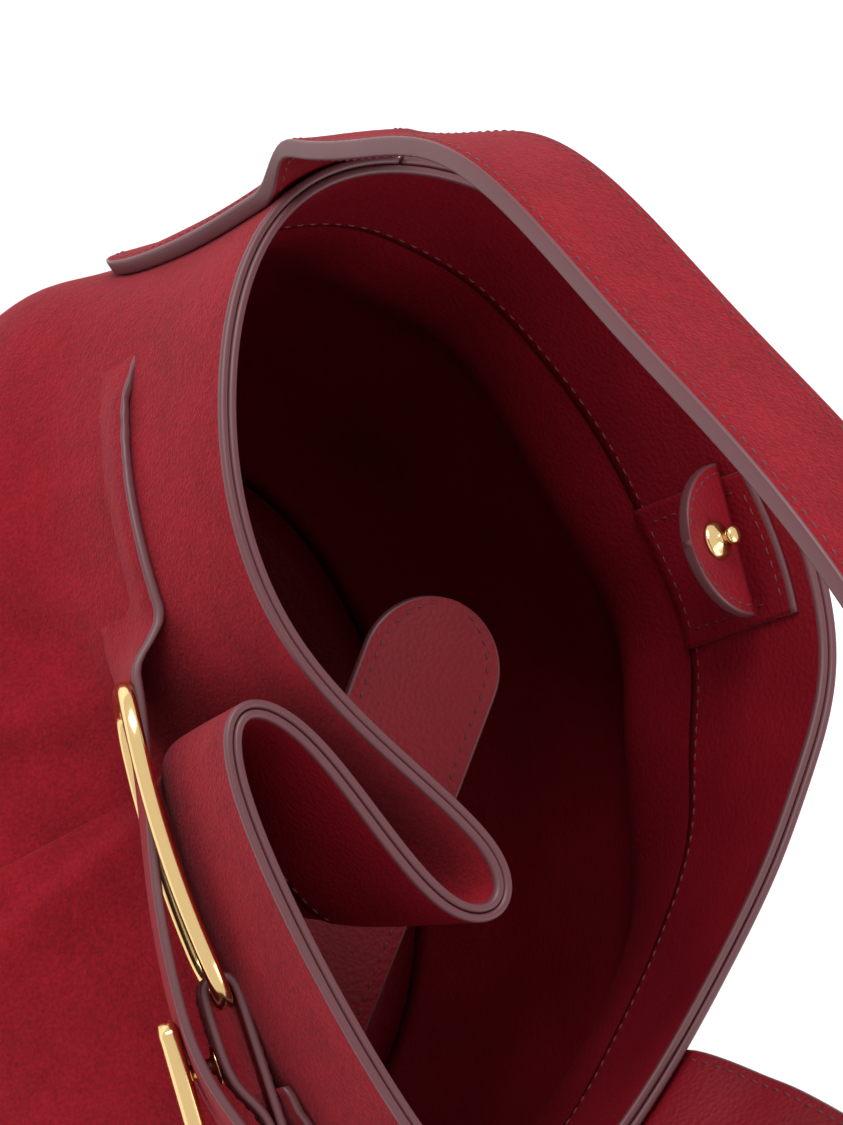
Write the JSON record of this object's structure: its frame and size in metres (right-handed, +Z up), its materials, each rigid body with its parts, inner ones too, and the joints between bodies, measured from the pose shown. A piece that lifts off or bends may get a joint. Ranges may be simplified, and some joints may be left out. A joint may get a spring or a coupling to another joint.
{
  "type": "bucket bag",
  "caption": "Soft suede bucket bag standing open, with a leather lining, a belted front with ring buckle and toggle, an inner stud tab, a tongue and one shoulder strap.",
  "frame": {"origin": "middle of the base, on the surface the bag stands on", "axes": "+X from the bag's left side to its right side, front face towards -Y, +Z up out of the mouth"},
  "size_m": [0.2779, 0.2115, 0.3614],
  "materials": {
    "suede": "suede nap",
    "lining_leather": "smooth satin leather",
    "board": "matte",
    "gold_metal": "polished"
  },
  "bodies": {
    "bag": {"front_panel": "suede", "back_panel": "suede", "base_panel": "suede", "base_board": "board", "lining": "lining_leather", "rim_facing": "lining_leather", "hug_belt": "suede", "belt_loop": "suede", "right_band": "suede", "toggle_post": "gold_metal", "tongue_root": "lining_leather", "stud_patch": "lining_leather", "strap_tab_left": "suede", "strap_tab_right": "suede"},
    "strap": {"strap_outer": "suede", "strap_lining": "lining_leather"},
    "tongue": {"closure_tongue": "lining_leather", "closure_tongue_back": "suede"},
    "stud_flap": {"stud_tab": "lining_leather", "stud_tab_back": "lining_leather", "closure_stud": "gold_metal", "stud_screw": "gold_metal"},
    "buckle": {"buckle_ring": "gold_metal"},
    "toggle": {"toggle_bar": "gold_metal"}
  },
  "joints": [
    {"name": "strap_swing", "type": "hinge", "parent": "bag", "child": "strap", "pos_m": [-0.115, -0.017, 0.221], "axis": [0.9813, 0.1927, 0], "range_deg": [-75, 75]},
    {"name": "tongue_swing", "type": "hinge", "parent": "bag", "child": "tongue", "pos_m": [0.075, -0.036, 0.113], "axis": [-0.4677, -0.8839, 0], "range_deg": [0, 60]},
    {"name": "stud_tab_fold", "type": "hinge", "parent": "bag", "child": "stud_flap", "pos_m": [-0.028, 0.0715, 0.187], "axis": [0.9986, 0.0523, 0], "range_deg": [0, 60]},
    {"name": "buckle_swing", "type": "hinge", "parent": "bag", "child": "buckle", "pos_m": [0.05286, -0.05785, 0.15424], "axis": [0.0453, -0.3224, 0.9455], "range_deg": [0, 6]},
    {"name": "toggle_turn", "type": "hinge", "parent": "bag", "child": "toggle", "pos_m": [0.06716, -0.06616, 0.15073], "axis": [0.1316, -0.9363, -0.3256], "range_deg": [-57, 33]}
  ]
}
